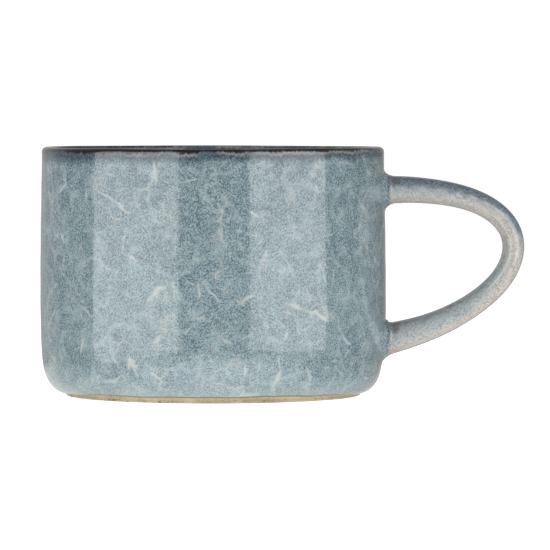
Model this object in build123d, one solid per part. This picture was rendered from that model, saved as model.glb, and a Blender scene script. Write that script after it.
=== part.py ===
from build123d import *
import os

# A stoneware mug: a turned clay cup with a bare foot, a pulled handle luted to its wall with slip,
# and the fired coats of glaze over them.
#
# Lengths are millimetres. The origin is the centre of the foot, on the table. +Z runs up the cup's
# axis, and the handle points along +X, so the mug is symmetric about the XZ plane.

# ---- Cup: driving dimensions, measured over the glaze ----
CUP_HEIGHT = 64.5
LIP_RADIUS = 44.5
LIP_THICKNESS = 3.0
BELLY_RADIUS = 45.0         # the wall swells to this a third of the way up
HEEL_RADIUS = 44.75         # where the rounded heel turns into the upright wall
HEEL_HEIGHT = 14.0
FOOT_RADIUS = 38.2
FOOT_WIDTH = 4.4
GLAZE = 0.4                 # thickness of a fired coat

# ---- Cup: details of its section ----
# The heel's curve: its four Bezier points, and for each the direction in which the glaze thickens.
HEEL_CURVE = [
    ((FOOT_RADIUS + 0.5, 0.3), (0.4, -0.9)),
    ((HEEL_RADIUS - 1.85, 2.3), (0.6, -0.8)),
    ((HEEL_RADIUS - 0.75, 3.8), (0.9, -0.3)),
    ((HEEL_RADIUS, HEEL_HEIGHT), (1, 0)),
]
BELLY_LOW = (BELLY_RADIUS + 0.25, 1.5 * HEEL_HEIGHT)        # the wall's Bezier points between its ends
BELLY_HIGH = (BELLY_RADIUS - 0.15, 0.7 * CUP_HEIGHT)
LIP_STRAIGHT = 3.5          # upright stretch below the top of the lip
LIP_ROUND = 1.2
WALL_TAPER = 0.6            # the inside is this much narrower at the floor than at the lip
FLOOR_HEIGHT = 6.0          # inside floor, at its edge
FLOOR_DISH = 0.4            # the floor's centre is this much lower
FLOOR_ROUND = 9.0
RECESS_DEPTH = 1.7          # hollow inside the foot ring
RECESS_ROUND = 0.8
BARE_FOOT = 0.9             # the glaze stops this far above the table
RIM_BAND = 1.6              # depth of the dark band of glaze on the lip

# ---- Handle: its middle line is one cubic curve in the XZ plane, from inside the wall and back ----
HANDLE_LINE = [(43.0, 0, 53.2), (93.0, 0, 56.1), (86.8, 0, 22.1), (43.0, 0, 14.0)]
TOP_ROOT = (12.5, 7.5)      # width along Y, and thickness, over the glaze
WAIST = (9.5, 5.7)
LOW_ROOT = (12.5, 8.6)
SECTION_SPACING = 7.0

# ---- Slip joints: the fillet of slip round each end of the handle, and the glaze over it ----
WALL_DEPTH = 1.5            # the handle line starts about this far inside the glazed wall
UPPER_FLARE = 0.9           # how far the slip spreads over the wall at each end
LOWER_FLARE = 0.6
SLIP_LENGTH = 2.8           # how far it reaches along the handle
SLIP_EDGE = 0.25            # its thickness where it ends
COAT_FLARE = 0.8            # the glaze over it spreads this much further
COAT_LENGTH = 3.3
COAT_EDGE = 0.1
FILLET_POWER = 3            # the higher, the sooner a fillet falls to the handle
SLIP_SPACING = 0.7


def at(radius, height):
    """A point of the cup's section, in the XZ plane."""
    return (radius, 0, height)


def level_band(low, high):
    """A band across the half section between two heights, wider than the cup."""
    far = 2 * BELLY_RADIUS
    return make_face(Polyline(at(0, low), at(far, low), at(far, high), at(0, high), close=True))


def cup_section(coat):
    """Half the cup's section, with a coat of this thickness taken off every glazed face."""
    foot_inner = FOOT_RADIUS - FOOT_WIDTH
    outer = LIP_RADIUS - coat
    inner = LIP_RADIUS - LIP_THICKNESS + coat
    top = CUP_HEIGHT - coat
    floor = FLOOR_HEIGHT - coat
    recess = RECESS_DEPTH + coat
    heel = [at(x - coat * out_x, z - coat * out_z) for (x, z), (out_x, out_z) in HEEL_CURVE]
    belly_low, belly_high = (at(x - coat, z) for x, z in (BELLY_LOW, BELLY_HIGH))
    lip_start = at(outer, CUP_HEIGHT - LIP_STRAIGHT)
    floor_edge = at(inner - WALL_TAPER, floor)
    section = make_face([
        Line(at(foot_inner, 0), at(FOOT_RADIUS, 0)),
        Line(at(FOOT_RADIUS, 0), heel[0]),
        Bezier(*heel),
        Bezier(heel[-1], belly_low, belly_high, lip_start),
        Line(lip_start, at(outer, top)),
        Line(at(outer, top), at(inner, top)),
        Line(at(inner, top), floor_edge),
        Line(floor_edge, at(0, floor - FLOOR_DISH)),
        Line(at(0, floor - FLOOR_DISH), at(0, recess)),
        Line(at(0, recess), at(foot_inner, recess)),
        Line(at(foot_inner, recess), at(foot_inner, 0)),
    ])
    rounds = [
        (at(outer, top), LIP_ROUND - coat),
        (at(inner, top), LIP_ROUND - coat),
        (floor_edge, FLOOR_ROUND + coat),
        (at(foot_inner, recess), RECESS_ROUND + coat),
    ]
    for corner, radius in rounds:
        section = fillet(section.vertices().sort_by_distance(corner)[0], radius)
    return section


def turned(section):
    """The solid that a section sweeps round the cup's axis, with its seam opposite the handle."""
    return Rot(0, 0, 180) * revolve(section, Axis.Z)


def make_cup():
    """The clay cup and the four coats on it, as sections turned about the cup's axis."""
    clay = cup_section(GLAZE)
    rim_zone = level_band(CUP_HEIGHT - RIM_BAND, CUP_HEIGHT + 1)
    coats = cup_section(0) - clay - level_band(-1, BARE_FOOT)
    base, inner, outer = (coats - rim_zone).faces().sort_by(lambda face: face.center().X)
    sections = {
        "cup_body": clay,
        "rim_glaze": coats & rim_zone,
        "outer_glaze": outer,
        "inner_glaze": inner,
        "base_glaze": base,
    }
    return {name: turned(section) for name, section in sections.items()}


def handle_loft(line, distances, growth):
    """A smooth bar through oval sections of the handle, each grown by growth(distance from the root)."""
    sections = []
    for distance in distances:
        share = distance / line.length
        root = TOP_ROOT if share < 0.5 else LOW_ROOT
        swell = (2 * share - 1) ** 2
        width, thickness = (slim + (thick - slim) * swell for thick, slim in zip(root, WAIST))
        extra = growth(min(distance, line.length - distance) - WALL_DEPTH)
        plane = Plane(line @ share, x_dir=(0, 1, 0), z_dir=line % share)
        sections.append(plane * Ellipse(width / 2 + extra, thickness / 2 + extra))
    return loft(sections)


def spread(start, end, spacing):
    """Evenly spaced distances from start to end, at about this spacing."""
    count = round((end - start) / spacing)
    return [start + (end - start) * step / count for step in range(count + 1)]


def fillet_loft(line, from_top, height, length, edge):
    """The fillet at one end of the handle. It spreads over the wall, and ends proud of the handle by edge."""
    distances = spread(0, WALL_DEPTH + length, SLIP_SPACING)
    if not from_top:
        distances = [line.length - distance for distance in reversed(distances)]
    return handle_loft(
        line, distances, lambda distance: edge + height * min(1 - distance / length, 1) ** FILLET_POWER)


def make_handle(cup):
    """The handle's clay, the slip round its two ends, and the coat over all three."""
    line = Bezier(*HANDLE_LINE)
    whole = spread(0, line.length, SECTION_SPACING)
    clay = handle_loft(line, whole, lambda distance: -GLAZE) - cup["cup_body"]
    coat = handle_loft(line, whole, lambda distance: 0)
    parts = {"handle": clay}
    joints = [("upper_slip_joint", True, UPPER_FLARE), ("lower_slip_joint", False, LOWER_FLARE)]
    for name, from_top, flare in joints:
        slip = fillet_loft(line, from_top, flare, SLIP_LENGTH, SLIP_EDGE - GLAZE)
        parts[name] = slip - clay - cup["cup_body"]
        coat += fillet_loft(line, from_top, flare + COAT_FLARE, COAT_LENGTH, COAT_EDGE)

    coat -= turned(cup_section(0))
    for solid in parts.values():
        coat -= solid
        cup["outer_glaze"] -= solid
    parts["handle_glaze"] = coat
    return parts


cup = make_cup()
handle = make_handle(cup)
os.makedirs("parts", exist_ok=True)
for name, part in (cup | handle).items():
    export_step(part, f"parts/{name}.step")
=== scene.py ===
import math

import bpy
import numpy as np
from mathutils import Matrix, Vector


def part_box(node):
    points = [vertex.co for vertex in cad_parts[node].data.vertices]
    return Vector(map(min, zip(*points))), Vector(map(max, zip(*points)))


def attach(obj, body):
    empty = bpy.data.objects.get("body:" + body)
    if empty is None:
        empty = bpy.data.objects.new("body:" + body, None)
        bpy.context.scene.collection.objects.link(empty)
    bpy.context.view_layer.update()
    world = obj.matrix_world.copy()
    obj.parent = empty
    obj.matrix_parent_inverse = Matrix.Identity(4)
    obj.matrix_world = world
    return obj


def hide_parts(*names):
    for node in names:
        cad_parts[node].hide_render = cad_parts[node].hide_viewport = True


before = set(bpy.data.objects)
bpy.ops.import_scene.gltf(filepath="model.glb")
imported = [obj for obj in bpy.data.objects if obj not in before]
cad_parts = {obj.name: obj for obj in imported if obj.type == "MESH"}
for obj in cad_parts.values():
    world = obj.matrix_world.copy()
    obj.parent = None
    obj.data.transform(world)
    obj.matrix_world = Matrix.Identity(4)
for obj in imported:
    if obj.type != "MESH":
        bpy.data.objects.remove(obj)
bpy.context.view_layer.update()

# A stoneware mug with a grey-blue reactive glaze: a smooth upright cup, a dark rim, a bare clay foot
# and a pulled handle. The clay, the slip and the base coat are the CAD nodes, with materials made
# here. The four coats that show are denser meshes, with the small unevenness of hand work and of
# glaze that ran in the kiln.
#
# Lengths are in millimetres, and become metres as a mesh, a lamp or the camera is made. Angles are in
# radians, unless a comment says degrees. The handle points along +X, and the camera looks from -Y.

MM = 0.001

# ---- Cup, over the glaze ----
RIM_LOW, RIM_HIGH = (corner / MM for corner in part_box("rim_glaze"))
CUP_HEIGHT = RIM_HIGH.z
LIP_RADIUS = RIM_HIGH.x
LIP_THICKNESS = 3.0
LIP_ROUND = 1.2
LIP_STRAIGHT = 3.5          # upright stretch below the top of the lip
RIM_BOTTOM = RIM_LOW.z
BELLY_RADIUS = 45.0
HEEL_HEIGHT = 14.0
HEEL_RADIUS = 44.75
HEEL_CURVE = [(38.7, 0.3), (HEEL_RADIUS - 1.85, 2.3), (HEEL_RADIUS - 0.75, 3.8), (HEEL_RADIUS, HEEL_HEIGHT)]
WALL_CURVE = [(HEEL_RADIUS, HEEL_HEIGHT), (BELLY_RADIUS + 0.25, 1.5 * HEEL_HEIGHT),
              (BELLY_RADIUS - 0.15, 0.7 * CUP_HEIGHT), (LIP_RADIUS, CUP_HEIGHT - LIP_STRAIGHT)]
FLOOR_HEIGHT = 6.0
FLOOR_DISH = 0.4
FLOOR_ROUND = 9.0
FLOOR_CENTRE = 0.5          # the last ring of the floor's mesh, closed by one face
WALL_TAPER = 0.6            # the inside is this much narrower at the floor than at the lip
GLAZE = 0.4

# ---- Unevenness of the cup: waves round it, each (size, waves per turn, phase, lean with height) ----
WALL_WAVES = [(0.06, 2, 0.6, 0), (0.04, 3, 1.9, 0.05)]
LIP_WAVES = [(0.06, 2, 2.2, 0), (0.03, 5, 0, 0)]
EDGE_WAVES = [(0.1, 5, 0.7, 0), (0.07, 11, 2.1, 0), (0.04, 23, 0, 0)]
TURNING_RING = 0.02         # the rings that the potter's fingers left
TURNING_PITCH = 0.62        # radians of ring per millimetre of height
HEEL_SWELL = 0.04           # the heel stands out this much
HEEL_LEAN = 0.22            # less on the handle's side, and more on the opposite side
HEEL_MIDDLE = 7.5
HEEL_SPREAD = 5.5
RINGS_START = (6, 16)       # heights between which the turning rings set in
LIP_STARTS = (50, 64)       # and the lip's dips
WOBBLE_STARTS = (20, 36)    # the floor is flat inside the first radius

# ---- The outer coat's lower edge ----
EDGE_HEIGHT = 0.62          # above the table
EDGE_RISE = 0.95            # it ends this much higher at the front
ROLL_HEIGHT = 0.3           # the coat rounds out to its full thickness over this height
ROLL_DEPTH = GLAZE + 0.06
BEAD_SIZE = 0.1             # the glaze gathered into a bead this far above the roll
BEAD_ABOVE = 0.3
BEAD_WIDTH = 0.5

# ---- Density of the cup's meshes ----
CUP_TURNS = 320
CURVE_POINTS = 200
OUTER_SPACING = 0.5
LIP_SPACING = 0.14
INNER_SPACING = 0.8
ROLL_ROWS = 8
HEEL_ROWS = 24
HEEL_ROWS_TOP = 6.0         # the height at which the heel's uneven rows have become level

# ---- Handle ----
HANDLE_LINE = [(43.0, 53.2), (93.0, 56.1), (86.8, 22.1), (43.0, 14.0)]
TOP_ROOT = (12.5, 7.5)      # width along Y, and thickness
WAIST = (9.5, 5.7)
LOW_ROOT = (12.5, 8.6)
OVAL_POWER = 2.25           # 2 is an ellipse, and more is squarer
PULL_UNEVEN = 0.05

# ---- Joints between handle and wall ----
# Height and length of the slip fillets on the side away from the loop, towards it, and on the flanks.
TOP_FILLET = ((1.9, 3.0), (2.2, 2.8), (2.0, 2.6))
LOW_FILLET = ((1.9, 2.9), (1.0, 2.3), (1.9, 2.6))
BURR_HEIGHT = 0.6
BURR_REACH = 0.45           # distance from the wall
BURR_WIDTH = 0.3
GROOVE_X = 45.4
GROOVE_DEPTH = 0.26
GROOVE_WIDTH = 0.2
RIDGE_X = 46.1
RIDGE_HEIGHT = 0.14
RIDGE_WIDTH = 0.32
STAIN_GAP = 2.6             # stains lie this far off the wall
STAIN_WIDTH = 2.0
COAT_TUCK = 0.06            # the coat's ends go this far into the wall's glaze

# ---- Density of the handle's mesh ----
HANDLE_TURNS = 112
HANDLE_ROWS = 170
LINE_POINTS = 4000
CONTACT_REACH = 12.0        # the handle leaves the wall within this distance of its ends
CONTACT_HALVINGS = 40
FIRST_ROWS = [0, 0.03, 0.08, 0.14, 0.22]    # distances from the wall
JOINT_ROWS = (0.32, 4.2, 0.12)              # then close rows: from, to and spacing

# ---- Colours ----
DEEP = "4a606a"
GROUND = "95a9ac"
PALE = "adbcbc"
CREAM = "bdbfb9"
NAVY = "243040"
BROWN = "1a130e"
ASH = "a39a8d"
SLATE = "7c8a94"
GREY = "b4bbbb"
BUFF = "c8bfb5"
STAIN = "5a5757"
ORANGE = "b58a62"
CLAY = ("beb296", "9c8e73")     # light, dark
SLIP = ("bfb194", "9c8f74")

# ---- The lip's colours change at these distances down from it, once the glaze's runs are added ----
BROWN_ENDS = (0.5, 1.15)
ASH_STARTS = (0.9, 1.2)
ASH_ENDS = (1.3, 2.0)
NAVY_ENDS = (1.9, 4.4)
RUN_STREAKS = 1.7           # how far fine streaks and broad runs move them
RUN_BROAD = 2.2
RUN_LEAN = 0.012            # how far for each millimetre along X
RUN_START = -1.95           # how far everywhere
INNER_LIP_SHIFT = 0.9       # how far on the lip's inner side

# ---- Depth of the bumps in the glaze's and the clay's surface ----
WAVE_DEPTH = 0.012
GRAIN_DEPTH = 0.06

# ---- Camera ----
CAMERA_LENS = 314
CAMERA_SENSOR = 36
CAMERA_PLACE = (16.1, -1250, 78.5)
CAMERA_PITCH = 2.17         # degrees downwards

# ---- Light: a strength is the brightness that a panel or the surroundings show, where 1 is white ----
# Each softbox: its name, its direction in degrees from the camera's, and its width.
SOFTBOXES = [("softbox_left", -52.6, 1087), ("softbox_right", 51.8, 945)]
SOFTBOX_FAR = 900
SOFTBOX_LOW = -170
SOFTBOX_TOP = 750
SOFTBOX = 1.65
OVERHEAD = 3.0
OVERHEAD_SIZE = 600
OVERHEAD_HEIGHT = 1100
WORLD_LIGHT = 0.3
WORLD_SEEN = 1.05
ROOM_REFLECTED = 0.15
WALL_REFLECTED = 0.35
WALL_DIRECTION = (-0.35, 1, 0)      # the bright wall stands behind the mug, and to its left
WALL_STARTS = 0.72

# ---- Floor ----
FLOOR_RADIUS = 5000
FLOOR_HOLE = 0.01           # a pinhole under the mug, because the floor is a ring too
FLOOR_GLOW = 0.8
RING_STEPS = 120
PATCH_INNER = 38            # the part of the floor that the glaze reflects lies round the foot
PATCH_OUTER = 120
PATCH_HEIGHT = 0.05
PATCH_FADES = (64, 115)
SHINE = 1.5
SHINE_BEHIND = 0.2          # share of it that is left behind the line where it falls off
SHINE_FALLS = (-66, -26)
SHINE_AT_HANDLE = 0.5       # share of it that is left on the handle's side
SHINE_DIMS = (30, 60)


# ======================================================================================
# Small tools
# ======================================================================================

def bezier(points, count):
    """Points of a cubic Bezier curve, evenly spaced in its parameter."""
    t = np.linspace(0, 1, count)[:, None]
    weights = ((1 - t) ** 3, 3 * t * (1 - t) ** 2, 3 * t ** 2 * (1 - t), t ** 3)
    return sum(weight * np.array(point) for weight, point in zip(weights, points))


def arc(centre, radius, start, end, count):
    """Points of a circular arc in the section plane, from start to end in degrees."""
    angle = np.radians(np.linspace(start, end, count))
    return np.stack([centre[0] + radius * np.cos(angle), centre[1] + radius * np.sin(angle)], axis=1)


def distances_along(line):
    """The distance of each of a line's points from its start."""
    return np.r_[0, np.cumsum(np.linalg.norm(np.diff(line, axis=0), axis=1))]


def resample(line, spacing):
    """The same line with points at about this spacing."""
    along = distances_along(line)
    wanted = np.linspace(0, along[-1], round(along[-1] / spacing) + 1)
    return np.stack([np.interp(wanted, along, line[:, k]) for k in (0, 1)], axis=1)


def smoothstep(value, low, high):
    """0 at low, 1 at high, and smooth between. Low may be the larger of the two."""
    t = np.clip((value - low) / (high - low), 0, 1)
    return t * t * (3 - 2 * t)


def bump(value, centre, width):
    """1 where value is centre, and falling away smoothly on both sides."""
    return np.exp(-((value - centre) / width) ** 2)


def waves(table, angle, height=0):
    """The sum of a table's waves at an angle round the cup's axis."""
    return sum(size * np.sin(count * angle + phase + lean * height) for size, count, phase, lean in table)


def grid_normals(points):
    """Unit normals of a grid of points (rows, turns, 3), whose turns close on themselves."""
    along = np.gradient(points, axis=0)
    around = (np.roll(points, -1, axis=1) - np.roll(points, 1, axis=1)) / 2
    normal = np.cross(around, along)
    return normal / np.linalg.norm(normal, axis=2, keepdims=True)


def grid_mesh(name, points, normals, values, capped=False):
    """A smooth mesh from a grid of points, with its normals and its per-point values."""
    rows, turns = points.shape[:2]
    index = np.arange(rows * turns).reshape(rows, turns)
    after = np.roll(index, -1, axis=1)
    faces = np.stack([index[:-1], after[:-1], after[1:], index[1:]], axis=2).reshape(-1, 4).tolist()
    if capped:
        faces.append(index[-1].tolist())
    mesh = bpy.data.meshes.new(name)
    mesh.from_pydata((points.reshape(-1, 3) * MM).tolist(), [], faces)
    mesh.polygons.foreach_set("use_smooth", np.ones(len(mesh.polygons), bool))
    mesh.update()
    mesh.normals_split_custom_set_from_vertices(normals.reshape(-1, 3).tolist())
    for key, value in values.items():
        layer = mesh.attributes.new(key, "FLOAT", "POINT")
        layer.data.foreach_set("value", value.reshape(-1).astype(np.float32))
    piece = bpy.data.objects.new(name, mesh)
    bpy.context.scene.collection.objects.link(piece)
    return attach(piece, "root")


# ======================================================================================
# The cup's three coats
# ======================================================================================

def outer_line():
    """The wall's outline from the foot up to where the lip rounds over."""
    heel = bezier(HEEL_CURVE, CURVE_POINTS)
    wall = bezier(WALL_CURVE, CURVE_POINTS)
    return np.concatenate([heel, wall[1:], [(LIP_RADIUS, CUP_HEIGHT - LIP_ROUND)]])


def lip_line():
    """Over the lip, from its outer side to its inner side."""
    high = CUP_HEIGHT - LIP_ROUND
    inner = LIP_RADIUS - LIP_THICKNESS
    return np.concatenate([
        arc((LIP_RADIUS - LIP_ROUND, high), LIP_ROUND, 0, 90, 30),
        arc((inner + LIP_ROUND, high), LIP_ROUND, 90, 180, 30),
    ])


def inner_line():
    """Down the inside and across the floor, to just short of its centre."""
    inner = LIP_RADIUS - LIP_THICKNESS
    corner = (inner - WALL_TAPER - FLOOR_ROUND, FLOOR_HEIGHT + FLOOR_ROUND)
    return np.concatenate([
        [(inner, CUP_HEIGHT - LIP_ROUND)],
        arc(corner, FLOOR_ROUND, 0, -90, 40),
        [(FLOOR_CENTRE, FLOOR_HEIGHT - FLOOR_DISH)],
    ])


OUTER_LINE = outer_line()


def wobble(angle, height):
    """How far the thrown wall stands out from a true turned one."""
    rings = TURNING_RING * np.sin(TURNING_PITCH * height + 0.8 * np.sin(angle + 1.0))
    heel = (HEEL_SWELL - HEEL_LEAN * np.cos(angle)) * bump(height, HEEL_MIDDLE, HEEL_SPREAD)
    return waves(WALL_WAVES, angle, height) + rings * smoothstep(height, *RINGS_START) + heel


def wall_radius(angle, height):
    """The wall's outer radius over the glaze, at an angle round the axis and a height."""
    return np.interp(height, OUTER_LINE[:, 1], OUTER_LINE[:, 0]) + wobble(angle, height)


def glaze_edge(angle):
    """Height above the table where the outer coat ends: higher at the front, and uneven."""
    return EDGE_HEIGHT + EDGE_RISE * np.clip(-np.sin(angle), -0.3, 1) + waves(EDGE_WAVES, angle)


def ring(radius, angles, height):
    """Points round the axis."""
    return np.stack([radius * np.cos(angles), radius * np.sin(angles), height], axis=-1)


def turn(line, angles):
    """Every point of an outline at every angle, with the wall's unevenness."""
    radius, height = (np.repeat(line[:, k:k + 1], len(angles), axis=1) for k in (0, 1))
    angle = np.broadcast_to(angles, radius.shape)
    radius = radius + smoothstep(radius, *WOBBLE_STARTS) * wobble(angle, height)
    dips = smoothstep(height, *LIP_STARTS) * waves(LIP_WAVES, angle)
    return ring(radius, angle, height + dips)


def heel_rows(angles, top):
    """The coat's lowest rows: it rolls out from the clay at its uneven edge, then climbs to a level."""
    edge = glaze_edge(angles)
    rows = []
    for quarter in np.linspace(0, math.pi / 2, ROLL_ROWS)[:-1]:
        height = edge + ROLL_HEIGHT * (1 - math.cos(quarter))
        depth = ROLL_DEPTH * (1 - math.sin(quarter))
        rows.append(ring(wall_radius(angles, height) - depth, angles, height))
    start = edge + ROLL_HEIGHT
    for share in np.linspace(0, 1, HEEL_ROWS)[:-1]:
        height = start + (top - start) * share
        rise = height - start
        bead = BEAD_SIZE * bump(rise, BEAD_ABOVE, BEAD_WIDTH) * smoothstep(rise, -0.2, 0.3)
        rows.append(ring(wall_radius(angles, height) + bead, angles, height))
    return np.array(rows)


def make_cup():
    """The outer, rim and inner coats: one continuous skin, cut where the CAD's coats meet."""
    angles = np.linspace(0, 2 * math.pi, CUP_TURNS, endpoint=False)
    outer = resample(OUTER_LINE[OUTER_LINE[:, 1] >= HEEL_ROWS_TOP], OUTER_SPACING)
    lip = resample(lip_line(), LIP_SPACING)
    inner = resample(inner_line(), INNER_SPACING)
    line = np.concatenate([outer, lip[1:], inner[1:]])
    heel = heel_rows(angles, outer[0, 1])
    points = np.concatenate([heel, turn(line, angles)])
    normals = grid_normals(points)
    above = points[:, :, 2] - glaze_edge(angles)

    in_rim = np.flatnonzero(line[:, 1] > RIM_BOTTOM)
    rim_start = len(heel) + int(in_rim[0])
    rim_end = len(heel) + int(in_rim[-1])
    cuts = {
        "outer_coat": (0, rim_start),
        "rim_coat": (rim_start, rim_end),
        "inner_coat": (rim_end, len(points) - 1),
    }
    coats = {}
    for name, (first, last) in cuts.items():
        rows = slice(first, last + 1)
        coats[name] = grid_mesh(name, points[rows], normals[rows], {"above_edge": above[rows]},
                                capped=name == "inner_coat")
    return coats


# ======================================================================================
# The handle's coat, with the fillets of slip under it at both ends
# ======================================================================================

class HandleLine:
    """The handle's middle line, measured by distance from its start inside the wall."""

    def __init__(self):
        self.points = bezier(HANDLE_LINE, LINE_POINTS)
        self.distances = distances_along(self.points)
        self.length = self.distances[-1]
        self.tangents = np.gradient(self.points, self.distances, axis=0)

    def at(self, distance):
        """Centre, and outward direction across the line, both in the XZ plane."""
        centre = [np.interp(distance, self.distances, self.points[:, k]) for k in (0, 1)]
        tangent = [np.interp(distance, self.distances, self.tangents[:, k]) for k in (0, 1)]
        size = np.hypot(*tangent)
        return centre, (-tangent[1] / size, tangent[0] / size)

    def half_sizes(self, distance):
        """Half the width along Y and half the thickness, at a distance."""
        share = distance / self.length
        swell = (2 * share - 1) ** 2
        sizes = []
        for top, waist, low in zip(TOP_ROOT, WAIST, LOW_ROOT):
            root = np.where(share < 0.5, top, low)
            sizes.append((waist + (root - waist) * swell) / 2)
        return sizes


def oval(angle):
    """A slightly squared oval: across, then outward."""
    power = 2 / OVAL_POWER
    across, outward = np.cos(angle), np.sin(angle)
    return np.sign(across) * abs(across) ** power, np.sign(outward) * abs(outward) ** power


def bar_points(line, angle, distance, extra=0.0):
    """Points on the handle's bar, grown outwards by extra."""
    (x, z), (out_x, out_z) = line.at(distance)
    half_width, half_thick = line.half_sizes(distance)
    across, outward = oval(angle)
    y = across * half_width + extra * np.cos(angle)
    out = outward * half_thick + extra * np.sin(angle)
    return np.stack([x + out * out_x, y, z + out * out_z], axis=-1)


def wall_gap(points):
    """How far points stand off the cup's glazed wall."""
    angle = np.arctan2(points[..., 1], points[..., 0])
    return np.hypot(points[..., 0], points[..., 1]) - wall_radius(angle, points[..., 2])


def wall_contact(line, angle, from_start):
    """The distance along the line at which each side of the bar meets the wall, found by halving."""
    low, high = np.zeros_like(angle), np.full_like(angle, CONTACT_REACH)
    for _ in range(CONTACT_HALVINGS):
        middle = (low + high) / 2
        distance = middle if from_start else line.length - middle
        outside = wall_gap(bar_points(line, angle, distance)) > 0
        low, high = np.where(outside, low, middle), np.where(outside, middle, high)
    return low if from_start else line.length - low


def handle_rows(top, low):
    """Distances along the line for every row, between the contacts at the top and low ends."""
    near = FIRST_ROWS + list(np.arange(*JOINT_ROWS))
    middle = np.linspace(0, 1, HANDLE_ROWS)[1:-1]
    rows = [top + reach for reach in near]
    rows += [(top + near[-1]) * (1 - share) + (low - near[-1]) * share for share in middle]
    rows += [low - reach for reach in near[::-1]]
    return np.array(rows)


def fillet(angle, reach, sizes):
    """Height of a slip fillet at a distance from the wall, and how near the wall that is, from 0 to 1."""
    flank = abs(np.cos(angle)) ** 1.5
    is_away = np.sin(angle) > 0
    height, length = (
        flank * aside + (1 - flank) * np.where(is_away, away, towards)
        for away, towards, aside in zip(*sizes)
    )
    nearness = np.clip(1 - reach / length, 0, 1)
    return height * (1 - np.sqrt(1 - nearness ** 2)), nearness


def slip_growth(angles, from_top, from_low):
    """How far the slip lifts the coat off the bar, and how closely the coat keeps its gap to the wall."""
    growth, pull = np.zeros_like(from_top), np.zeros_like(from_top)
    for reach, sizes in ((from_top, TOP_FILLET), (from_low, LOW_FILLET)):
        height, nearness = fillet(angles, reach, sizes)
        growth += height
        pull += nearness ** 2
    # The lower joint's slip was pushed up into a small burr that stands off the wall.
    loop_side = np.clip(-np.sin(angles), 0, 1) ** 6
    growth += BURR_HEIGHT * loop_side * bump(from_low, BURR_REACH, BURR_WIDTH)
    return growth, pull


def flank_marks(angles, bar):
    """Strength of the beaded groove down each flank of both joints, and of the ridge beyond it."""
    flank = abs(np.cos(angles)) ** 1.2
    height = bar[..., 2]
    beads = 0.75 + 0.25 * np.sin(3.3 * height + 1.3 * np.sin(1.7 * height))
    groove = flank * bump(bar[..., 0], GROOVE_X, GROOVE_WIDTH) * beads
    ridge = flank * bump(bar[..., 0], RIDGE_X, RIDGE_WIDTH)
    return groove, ridge


def blend_into_wall(normals, points):
    """Turn the normals of the rows beside the wall towards the wall's own."""
    for row, weight in ((0, 1), (1, 0.5), (-2, 0.5), (-1, 1)):
        outward = points[row] * (1, 1, 0)
        outward /= np.linalg.norm(outward, axis=1, keepdims=True)
        normals[row] = normals[row] * (1 - weight) + outward * weight


def handle_values(normals, angles, share, gap, groove):
    """Where the glaze pooled, on sides that looked up, where the clay warms it, and the joints' marks."""
    up = normals[..., 2]
    bend = smoothstep(share, 0.12, 0.4) * smoothstep(share, 0.85, 0.5)
    near_joint = bump(gap, STAIN_GAP, STAIN_WIDTH)
    outer_side = 0.5 * np.sin(angles) * smoothstep(share, 0.7, 0.35)
    return {
        "pooled": 0.75 * up + outer_side - 0.5 * smoothstep(share, 0.3, 0.75),
        "warm": 0.45 - 0.5 * up + 0.35 * bend,
        "groove": groove,
        "joined": smoothstep(gap, 2.6, 0.6),
        "stained": near_joint * smoothstep(up, -0.3, 0.8),
        "rusty": near_joint * smoothstep(up, -0.4, -0.9) * smoothstep(share, 0.5, 0.9),
    }


def make_handle():
    """The coat over the handle and over its two joints, from wall to wall."""
    line = HandleLine()
    angle = np.linspace(0, 2 * math.pi, HANDLE_TURNS, endpoint=False)
    top, low = (wall_contact(line, angle, from_start) for from_start in (True, False))
    distance = handle_rows(top, low)
    angles = np.broadcast_to(angle, distance.shape)
    share = distance / line.length

    bar = bar_points(line, angles, distance)
    gap = wall_gap(bar)
    growth, pull = slip_growth(angles, distance - top, low - distance)
    groove, ridge = flank_marks(angles, bar)
    growth += RIDGE_HEIGHT * ridge - GROOVE_DEPTH * groove
    # The pulled clay isn't quite even along its length.
    growth += PULL_UNEVEN * np.sin(19 * share + 0.7) * np.sin(angles + 5 * share) * smoothstep(gap, 1, 6)

    points = bar_points(line, angles, distance, growth)
    points[..., 0] += (gap - wall_gap(points)) * pull
    points[[0, -1], :, 0] -= COAT_TUCK
    normals = grid_normals(points)
    blend_into_wall(normals, points)
    return grid_mesh("handle_coat", points, normals, handle_values(normals, angles, share, gap, groove))


# ======================================================================================
# Nodes
# ======================================================================================

def colour(code):
    """A shader colour from a hex code."""
    parts = [int(code[i:i + 2], 16) / 255 for i in (0, 2, 4)]
    return (*(c / 12.92 if c <= 0.04045 else ((c + 0.055) / 1.055) ** 2.4 for c in parts), 1)


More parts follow.
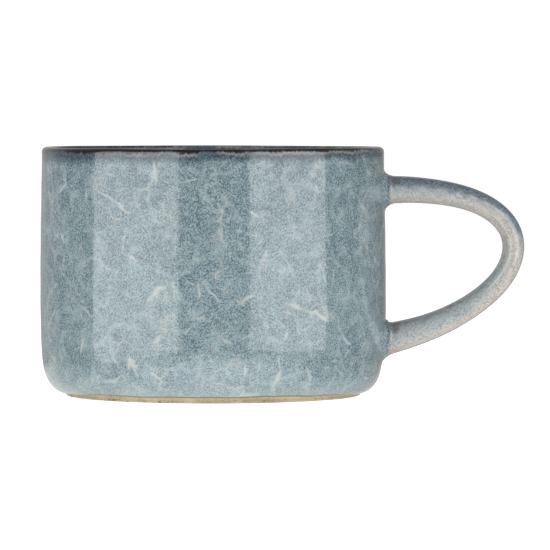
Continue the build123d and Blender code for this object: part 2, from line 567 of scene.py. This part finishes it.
class Nodes:
    """A node tree being made. Most methods add a node and return what comes out of it."""

    def __init__(self, tree):
        self.tree = tree

    def link(self, value, socket):
        """Give a socket a number, a colour or another node's output."""
        if isinstance(value, bpy.types.NodeSocket):
            self.tree.links.new(value, socket)
        else:
            socket.default_value = value

    def add(self, kind, inputs, output=0, **settings):
        """Any node: its kind, what its sockets get, which output to return, and its settings."""
        node = self.tree.nodes.new("ShaderNode" + kind)
        for key, value in settings.items():
            setattr(node, key, value)
        for key, value in inputs.items():
            self.link(value, node.inputs[key])
        return node.outputs[output]

    def product(self, a, b):
        """One number times another."""
        return self.add("Math", {0: a, 1: b}, operation="MULTIPLY")

    def sum(self, *terms):
        """The sum of (value, weight) pairs."""
        total = 0.0
        for value, weight in terms:
            total = self.add("Math", {0: value, 1: weight, 2: total}, operation="MULTIPLY_ADD")
        return total

    def step(self, value, low, high, start=0.0, end=1.0):
        """From start to end, smoothly, as the value goes from low to high."""
        return self.add("MapRange", {"Value": value, "From Min": low, "From Max": high,
                                     "To Min": start, "To Max": end}, interpolation_type="SMOOTHSTEP")

    def between(self, factor, a, b):
        """A number between two others. The Mix node's sockets for numbers are 2 and 3."""
        return self.add("Mix", {0: factor, 2: a, 3: b})

    def mix(self, factor, a, b):
        """A colour between two others. The Mix node's sockets for colours are 6 and 7, and its output 2."""
        return self.add("Mix", {0: factor, 6: a, 7: b}, 2, data_type="RGBA")


class Surface(Nodes):
    """A material being made, in millimetres of the piece's own space."""

    def __init__(self, name):
        self.material = bpy.data.materials.new(name)
        self.material.use_nodes = True
        super().__init__(self.material.node_tree)
        self.shader = self.tree.nodes["Principled BSDF"]
        metres = self.add("TexCoord", {}, "Object")
        self.place = self.add("VectorMath", {0: metres, 1: (1 / MM,) * 3}, operation="MULTIPLY")

    def finish(self, **inputs):
        """Set the shader's own sockets, such as Base_Color, and give back the material."""
        for key, value in inputs.items():
            self.link(value, self.shader.inputs[key.replace("_", " ")])
        return self.material

    def axis(self, index):
        """Place along X, Y or Z, which are 0, 1 and 2."""
        return self.add("SeparateXYZ", {"Vector": self.place}, index)

    def radius(self):
        """Distance from the cup's axis."""
        flat = self.add("VectorMath", {0: self.place, 1: (1, 1, 0)}, operation="MULTIPLY")
        return self.add("VectorMath", {0: flat}, 1, operation="LENGTH")

    def attribute(self, name):
        """One of the mesh's per-point values."""
        return self.add("Attribute", {}, "Fac", attribute_name=name)

    def noise(self, size, detail=0.0, rough=0.5, stretch=(1, 1, 1), seed=0):
        """Noise from 0 to 1, with features about this many millimetres across."""
        where = self.add("Mapping", {"Vector": self.place, "Location": (7.3 * seed, 3.1 * seed, 5.7 * seed),
                                     "Scale": tuple(1 / size / s for s in stretch)})
        return self.add("TexNoise", {"Vector": where, "Scale": 1.0, "Detail": detail, "Roughness": rough})

    def cell_edge(self, size, warp, seed):
        """Distance in millimetres to the nearest edge of irregular cells, warped by up to this much."""
        shift = self.add("TexNoise", {"Vector": self.place, "Scale": 1.6 / size, "Detail": 2.0}, 1)
        bent = self.add("VectorMath", {0: shift, 1: (warp,) * 3, 2: self.place}, operation="MULTIPLY_ADD")
        moved = self.add("VectorMath", {0: bent, 1: (11.0 * seed, 5.0 * seed, 3.0 * seed)}, operation="ADD")
        edge = self.add("TexVoronoi", {"Vector": moved, "Scale": 1 / size}, feature="DISTANCE_TO_EDGE")
        return self.product(edge, size)

    def veins(self, size, width, seed):
        """Broken branching lines, up to this wide."""
        open_here = self.step(self.noise(0.4 * size, detail=1.0, seed=seed), 0.45, 0.72, -0.3, width)
        reach = self.sum((open_here, 1.0), (self.cell_edge(size, 0.4 * size, seed), -1.0))
        return self.step(reach, -0.35, 0.35)

    def ripple(self, height, depth):
        """Bump of this depth in millimetres."""
        return self.add("Bump", {"Height": height, "Distance": depth * MM, "Strength": 1.0})

    def finish_glaze(self, tone, roughness, coat_roughness, seed):
        """A fired gloss over this colour, with the faint waves of glaze that has flowed."""
        slow, quick = self.noise(2.4, detail=1.0, seed=seed), self.noise(0.8, seed=seed + 1)
        normal = self.ripple(self.sum((slow, 1.0), (quick, 0.25)), WAVE_DEPTH)
        return self.finish(Base_Color=tone, Roughness=roughness, Coat_Weight=1.0,
                           Coat_Roughness=coat_roughness, Normal=normal, Coat_Normal=normal)


# ======================================================================================
# Materials
# ======================================================================================

def glaze_web(s):
    """Strength of a faint pale web in patches."""
    web = s.step(s.cell_edge(9, warp=5.0, seed=5), 0.0, 0.9, 1.0, 0.0)
    return s.product(web, s.step(s.noise(5.0, detail=2.0, seed=5), 0.35, 0.65, 0.0, 0.38))


def glaze_lines(s):
    """Strength of the cream veins: a large net, and a fainter small one."""
    small = s.step(s.veins(9, 0.3, seed=6), 0.0, 1.0, 0.0, 0.6)
    both = s.add("Math", {0: s.veins(15, 0.36, seed=4), 1: small}, operation="MAXIMUM")
    return s.product(both, 0.7)


def below_lip(s):
    """How far below the lip a point counts as being, moved by the glaze's streaks and runs."""
    inner_side = s.step(s.radius(), LIP_RADIUS - 2.6, LIP_RADIUS - 1.6, 1.0, 0.0)
    streak = s.noise(0.9, detail=2.0, rough=0.6, stretch=(1, 1, 4), seed=6)
    broad = s.noise(8.0, detail=1.0, seed=10)
    return s.sum((s.axis(2), -1.0), (CUP_HEIGHT, 1.0), (streak, RUN_STREAKS), (broad, RUN_BROAD),
                 (s.axis(0), RUN_LEAN), (inner_side, INNER_LIP_SHIFT), (1.0, RUN_START))


def blue_glaze(name, has_edge):
    """The cup's reactive glaze: fine dark specks on grey-blue, a pale web and cream veins, painted floor
    light that lightens it towards the bottom, and down from the lip a brown edge, a broken ash line and
    navy.
    A coat with an edge is brown there too, with a pale band above that is partly the glaze's own tone
    and partly painted reflection of the white floor."""
    s = Surface(name)
    broad = s.noise(11, detail=2.0, rough=0.6, seed=1)
    mottle = s.noise(3.2, detail=3.0, rough=0.7, seed=2)
    speck = s.noise(0.36, detail=1.0, rough=0.7, seed=3)
    # Painted light: the glaze is a little lighter towards the bottom and darker towards the lip, as the
    # white floor's light would make it.
    painted_floor_light = s.step(s.axis(2), 10, 64, 0.02, -0.03)
    level = s.sum((speck, 1.0), (mottle, 0.24), (broad, 0.2), (painted_floor_light, 1.0))
    tone = s.mix(s.step(level, 0.51, 0.94), colour(DEEP), colour(GROUND))
    haze = s.step(s.noise(4.5, detail=3.0, rough=0.7, seed=11), 0.5, 0.72, 0.0, 0.3)
    tone = s.mix(haze, tone, colour(CREAM))
    tone = s.mix(glaze_web(s), tone, colour(PALE))
    tone = s.mix(glaze_lines(s), tone, colour(CREAM))

    drop = below_lip(s)
    navy = s.mix(s.step(level, 0.56, 0.95), colour(NAVY), colour(DEEP))
    tone = s.mix(s.step(drop, *NAVY_ENDS, 0.85, 0.0), tone, navy)
    ash = s.product(s.step(drop, *ASH_STARTS), s.step(drop, *ASH_ENDS, 0.5, 0.0))
    ash = s.product(ash, s.step(s.noise(5.0, detail=1.0, seed=14), 0.38, 0.58, 0.15, 1.0))
    ash = s.product(ash, s.step(s.axis(0), -32, -12))
    tone = s.mix(ash, tone, colour(ASH))
    tone = s.mix(s.step(drop, *BROWN_ENDS, 1.0, 0.0), tone, colour(BROWN))
    if has_edge:
        above = s.attribute("above_edge")
        # Partly painted reflection: the coat is paler for a few millimetres above its edge, partly the
        # glaze's own tone and partly the white floor's reflection painted in. Then a thin brown line just
        # above the edge.
        tone = s.mix(s.step(above, 0.3, 6.0, 0.3, 0.0), tone, colour(PALE))
        tone = s.mix(s.step(above, 0.2, 0.5, 0.9, 0.0), tone, colour(BROWN))
    return s.finish_glaze(tone, roughness=0.14, coat_roughness=0.03, seed=8)


def handle_glaze():
    """The same glaze, thinner: dark where it pooled on the upper sides, buff where the clay warms it."""
    s = Surface("handle_glaze")
    mottle = s.noise(2.6, detail=3.0, rough=0.7, seed=12)
    speck = s.noise(0.44, detail=1.0, rough=0.7, seed=13)
    level = s.sum((speck, 1.0), (mottle, 0.4))
    ground = s.mix(s.step(s.attribute("warm"), 0.45, 0.95), colour(GREY), colour(BUFF))
    tone = s.mix(s.step(level, 0.48, 0.84), s.mix(0.5, ground, colour(DEEP)), ground)
    pooled = s.sum((s.attribute("pooled"), 1.0), (mottle, 2.6), (speck, 1.0), (1.0, -1.7))
    navy = s.mix(s.step(level, 0.45, 0.85), colour(NAVY), colour(SLATE))
    tone = s.mix(s.step(pooled, 0.0, 0.9), tone, navy)
    stained = s.sum((s.attribute("stained"), 1.0), (mottle, 1.0), (1.0, -0.5))
    tone = s.mix(s.step(stained, 0.3, 1.0, 0.0, 0.6), tone, colour(STAIN))
    tone = s.mix(s.step(s.attribute("rusty"), 0.3, 0.9, 0.0, 0.6), tone, colour(ORANGE))
    blue = s.mix(s.step(level, 0.5, 0.85), colour(DEEP), colour(GROUND))
    tone = s.mix(s.attribute("joined"), tone, blue)
    tone = s.mix(s.step(s.attribute("groove"), 0.3, 0.8, 0.0, 0.8), tone, colour(NAVY))
    return s.finish_glaze(tone, roughness=0.16, coat_roughness=0.04, seed=18)


def stoneware(name, light, dark):
    """Bare fired clay: fine grain, a few iron specks and turning marks."""
    s = Surface(name)
    grain = s.noise(0.35, detail=2.0, rough=0.7, seed=21)
    patch = s.noise(4.0, detail=2.0, seed=22)
    rings = s.noise(0.5, detail=1.0, stretch=(40, 40, 1), seed=23)
    level = s.sum((grain, 0.5), (patch, 0.5), (rings, 0.3))
    tone = s.mix(s.step(level, 0.45, 0.85), colour(dark), colour(light))
    tone = s.mix(s.step(s.noise(0.6, seed=24), 0.7, 0.76, 0.0, 0.7), tone, colour(BROWN))
    normal = s.ripple(s.sum((grain, 1.0), (rings, 0.8)), GRAIN_DEPTH)
    return s.finish(Base_Color=tone, Roughness=s.step(grain, 0.2, 0.8, 0.75, 0.95), Normal=normal)


# ======================================================================================
# Stage: camera, lights and floor
# ======================================================================================

def show(data, name, place=(0, 0, 0), turn_by=(0, 0, 0)):
    """Put a camera, lamp or mesh into the scene."""
    item = bpy.data.objects.new(name, data)
    item.location = Vector(place) * MM
    item.rotation_euler = turn_by
    bpy.context.scene.collection.objects.link(item)
    return item


def make_camera():
    """A long lens, a little above the rim and level with the front of the mug."""
    data = bpy.data.cameras.new("camera")
    data.sensor_width = CAMERA_SENSOR
    data.lens = CAMERA_LENS
    tilt = (math.radians(90 - CAMERA_PITCH), 0, 0)
    bpy.context.scene.camera = show(data, "camera", CAMERA_PLACE, tilt)


def make_softbox(name, azimuth, width):
    """An upright lit panel that faces the mug, at an azimuth in degrees from the camera's side."""
    data = bpy.data.lights.new(name, "AREA")
    data.shape = "RECTANGLE"
    data.size = width * MM
    data.size_y = (SOFTBOX_TOP - SOFTBOX_LOW) * MM
    data.energy = SOFTBOX * data.size * data.size_y * math.pi
    angle = math.radians(azimuth)
    place = (SOFTBOX_FAR * math.sin(angle), -SOFTBOX_FAR * math.cos(angle), (SOFTBOX_LOW + SOFTBOX_TOP) / 2)
    show(data, name, place, (math.pi / 2, 0, angle)).visible_camera = False


def make_overhead():
    """A soft light above the mug, which reaches into it. It doesn't show in reflections."""
    data = bpy.data.lights.new("overhead", "AREA")
    data.size = OVERHEAD_SIZE * MM
    data.energy = OVERHEAD * data.size ** 2 * math.pi
    show(data, "overhead", (0, 0, OVERHEAD_HEIGHT)).visible_glossy = False


def make_world():
    """White surroundings. Reflections see the bright wall behind the mug and a dim room in front of it."""
    world = bpy.data.worlds.new("white_studio")
    world.use_nodes = True
    bpy.context.scene.world = world
    w = Nodes(world.node_tree)
    looking = w.add("TexCoord", {}, "Generated")
    towards_wall = w.add("VectorMath", {0: looking, 1: WALL_DIRECTION}, 1, operation="DOT_PRODUCT")
    reflected = w.between(w.step(towards_wall, WALL_STARTS, 1.0), ROOM_REFLECTED, WALL_REFLECTED)
    strength = w.between(w.add("LightPath", {}, "Is Glossy Ray"), WORLD_LIGHT, reflected)
    strength = w.between(w.add("LightPath", {}, "Is Camera Ray"), strength, WORLD_SEEN)
    background = w.tree.nodes["Background"]
    w.link(strength, background.inputs["Strength"])
    w.link((1, 1, 1, 1), background.inputs["Color"])


def flat_ring(name, material, inner, outer, height=0.0):
    """A level ring round the cup's axis, which belongs to the stage."""
    angles = np.linspace(0, 2 * math.pi, RING_STEPS, endpoint=False)
    level = np.full_like(angles, height)
    points = np.concatenate([ring(radius, angles, level) for radius in (inner, outer)]) * MM
    pairs = [(i, (i + 1) % RING_STEPS) for i in range(RING_STEPS)]
    faces = [(here, here + RING_STEPS, after + RING_STEPS, after) for here, after in pairs]
    mesh = bpy.data.meshes.new(name)
    mesh.from_pydata(points.tolist(), [], faces)
    mesh.materials.append(material)
    piece = show(mesh, name)
    return piece


def make_floor():
    """A pale floor that reflections don't see."""
    s = Surface("pale_floor")
    shade = s.finish(Base_Color=(0.8, 0.8, 0.8, 1), Roughness=0.9, Emission_Color=(1, 1, 1, 1),
                     Emission_Strength=FLOOR_GLOW)
    flat_ring("floor", shade, FLOOR_HOLE, FLOOR_RADIUS).visible_glossy = False


def make_lit_patch():
    """The part of the floor that reflections do see: a clear ring with a glow that fades outwards,
    away from the camera and towards the handle."""
    s = Surface("lit_patch")
    s.tree.nodes.remove(s.shader)
    glow = s.step(s.radius(), *PATCH_FADES, 1.0, 0.0)
    glow = s.product(glow, s.step(s.axis(1), *SHINE_FALLS, SHINE, SHINE_BEHIND * SHINE))
    glow = s.product(glow, s.step(s.axis(0), *SHINE_DIMS, 1.0, SHINE_AT_HANDLE))
    light = s.add("Emission", {"Color": (1, 1, 1, 1), "Strength": glow})
    clear = s.add("BsdfTransparent", {})
    s.link(s.add("AddShader", {0: light, 1: clear}), s.tree.nodes["Material Output"].inputs["Surface"])
    patch = flat_ring("lit_patch", s.material, PATCH_INNER, PATCH_OUTER, PATCH_HEIGHT)
    patch.visible_camera = False
    patch.visible_diffuse = False
    patch.visible_shadow = False


# ======================================================================================
# Put together
# ======================================================================================

coats = make_cup()
coats["handle_coat"] = make_handle()
blue = blue_glaze("blue_glaze", has_edge=True)
liner = blue_glaze("liner_glaze", has_edge=False)
clay = stoneware("stoneware", *CLAY)
slip = stoneware("slip", *SLIP)
for name, node, slot, material in (
    ("outer_coat", "outer_glaze", "blue_glaze", blue),
    ("rim_coat", "rim_glaze", "rim_glaze", liner),
    ("inner_coat", "inner_glaze", "liner_glaze", liner),
    ("handle_coat", "handle_glaze", "handle_glaze", handle_glaze()),
):
    coats[name].data.materials.append(material)
    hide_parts(node)
for node, material in (
    ("cup_body", clay),
    ("handle", clay),
    ("upper_slip_joint", slip),
    ("lower_slip_joint", slip),
    ("base_glaze", liner),
):
    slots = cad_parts[node].data.materials
    slots.clear()
    slots.append(material)

make_camera()
make_world()
for softbox in SOFTBOXES:
    make_softbox(*softbox)
make_overhead()
make_floor()
make_lit_patch()
bpy.context.scene.view_settings.view_transform = "Standard"
